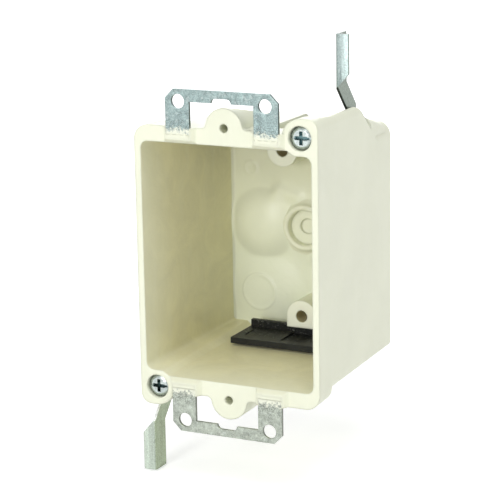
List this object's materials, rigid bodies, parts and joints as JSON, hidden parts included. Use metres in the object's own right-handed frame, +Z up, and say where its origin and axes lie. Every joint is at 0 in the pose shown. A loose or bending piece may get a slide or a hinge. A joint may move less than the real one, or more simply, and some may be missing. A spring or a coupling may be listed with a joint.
{
  "type": "old-work switch box",
  "caption": "Single-gang non-metallic old-work switch box with steel ears, swing clamps that grip the wall, and an open front for a switch or outlet.",
  "frame": {"origin": "centre of the front rim plane, half way between the two device screw holes", "axes": "-Y out of the open front toward the room, +Z up along the line of the device screw holes, +X to the right seen from the front"},
  "size_m": [0.0608, 0.0615, 0.136],
  "materials": {
    "cream_fibreglass_polyester": "moulded satin",
    "zinc_plated_ear": "galvanised, mottled",
    "zinc_plated_screw": "bright zinc",
    "galvanised_clamp": "galvanised",
    "black_flexible_plastic": "satin"
  },
  "bodies": {
    "box": {"box_body": "cream_fibreglass_polyester", "top_ear": "zinc_plated_ear", "bottom_ear": "zinc_plated_ear", "top_cable_clamp": "black_flexible_plastic", "bottom_cable_clamp": "black_flexible_plastic"},
    "top_screw": {"top_clamp_screw": "zinc_plated_screw"},
    "top_clamp": {"top_swing_clamp": "galvanised_clamp"},
    "bottom_screw": {"bottom_clamp_screw": "zinc_plated_screw"},
    "bottom_clamp": {"bottom_swing_clamp": "galvanised_clamp"}
  },
  "joints": [
    {"name": "top_screw_turn", "type": "hinge", "parent": "box", "child": "top_screw", "pos_m": [0.0245, 0.02, 0.0402], "axis": [0, -1, 0], "range_deg": [0, 60]},
    {"name": "top_clamp_travel", "type": "slide", "parent": "top_screw", "child": "top_clamp", "axis": [0, -1, 0], "range_m": [0, 0.0208]},
    {"name": "bottom_screw_turn", "type": "hinge", "parent": "box", "child": "bottom_screw", "pos_m": [-0.0245, 0.02, -0.0402], "axis": [0, -1, 0], "range_deg": [0, 60]},
    {"name": "bottom_clamp_travel", "type": "slide", "parent": "bottom_screw", "child": "bottom_clamp", "axis": [0, 1, 0], "range_m": [0, 0.0208]}
  ]
}
